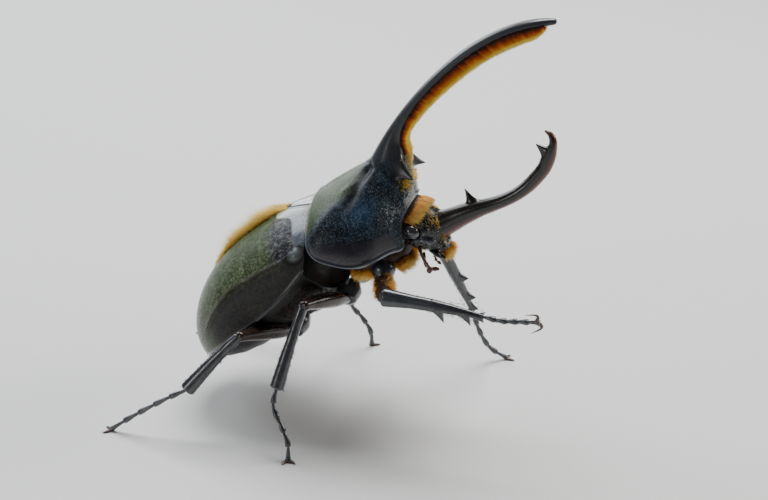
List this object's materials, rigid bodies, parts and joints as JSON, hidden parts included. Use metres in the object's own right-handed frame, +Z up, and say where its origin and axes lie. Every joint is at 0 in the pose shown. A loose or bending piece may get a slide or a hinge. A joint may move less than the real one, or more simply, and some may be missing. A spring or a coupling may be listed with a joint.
{
  "type": "beetle model",
  "caption": "Life-size male hercules beetle in a raised stance, its long upper horn lined with golden bristles over a curved lower horn, standing on its feet.",
  "frame": {"origin": "on the floor, at the middle of the underside of the beetle's bounding box", "axes": "+X is the way the beetle faces, +Y is its left side, +Z is up"},
  "size_m": [0.1106, 0.0738, 0.1065],
  "materials": {
    "black_chitin": "satin black",
    "olive_wing_case": "satin, mottled olive and black",
    "dark_brown_chitin": "satin dark brown",
    "reddish_mouthparts": "satin red brown",
    "golden_bristle": "matt golden bristles",
    "eye": "polished"
  },
  "bodies": {
    "root": {"abdomen": "dark_brown_chitin", "antenna_left": "reddish_mouthparts", "antenna_right": "reddish_mouthparts", "cephalic_horn_base": "black_chitin", "cephalic_horn_tip": "black_chitin", "coxa_front_left": "black_chitin", "coxa_front_right": "black_chitin", "coxa_hind_left": "black_chitin", "coxa_hind_right": "black_chitin", "coxa_middle_left": "black_chitin", "coxa_middle_right": "black_chitin", "elytron_left": "olive_wing_case", "elytron_right": "olive_wing_case", "eye_left": "eye", "eye_right": "eye", "femur_front_left": "dark_brown_chitin", "femur_front_right": "dark_brown_chitin", "femur_hind_left": "dark_brown_chitin", "femur_hind_right": "dark_brown_chitin", "femur_middle_left": "dark_brown_chitin", "femur_middle_right": "dark_brown_chitin", "head": "black_chitin", "mandible_left": "black_chitin", "mandible_right": "black_chitin", "mesothorax": "black_chitin", "metathorax": "black_chitin", "mouth_brush": "golden_bristle", "neck": "golden_bristle", "palp_left": "reddish_mouthparts", "palp_right": "reddish_mouthparts", "pronotum": "black_chitin", "prosternum": "golden_bristle", "pygidium": "black_chitin", "scutellum": "black_chitin", "tarsus_front_left": "black_chitin", "tarsus_front_right": "black_chitin", "tarsus_hind_left": "black_chitin", "tarsus_hind_right": "black_chitin", "tarsus_middle_left": "black_chitin", "tarsus_middle_right": "black_chitin", "thoracic_horn_base": "black_chitin", "thoracic_horn_middle": "black_chitin", "thoracic_horn_tip": "black_chitin", "tibia_front_left": "black_chitin", "tibia_front_right": "black_chitin", "tibia_hind_left": "black_chitin", "tibia_hind_right": "black_chitin", "tibia_middle_left": "black_chitin", "tibia_middle_right": "black_chitin"}
  },
  "joints": []
}
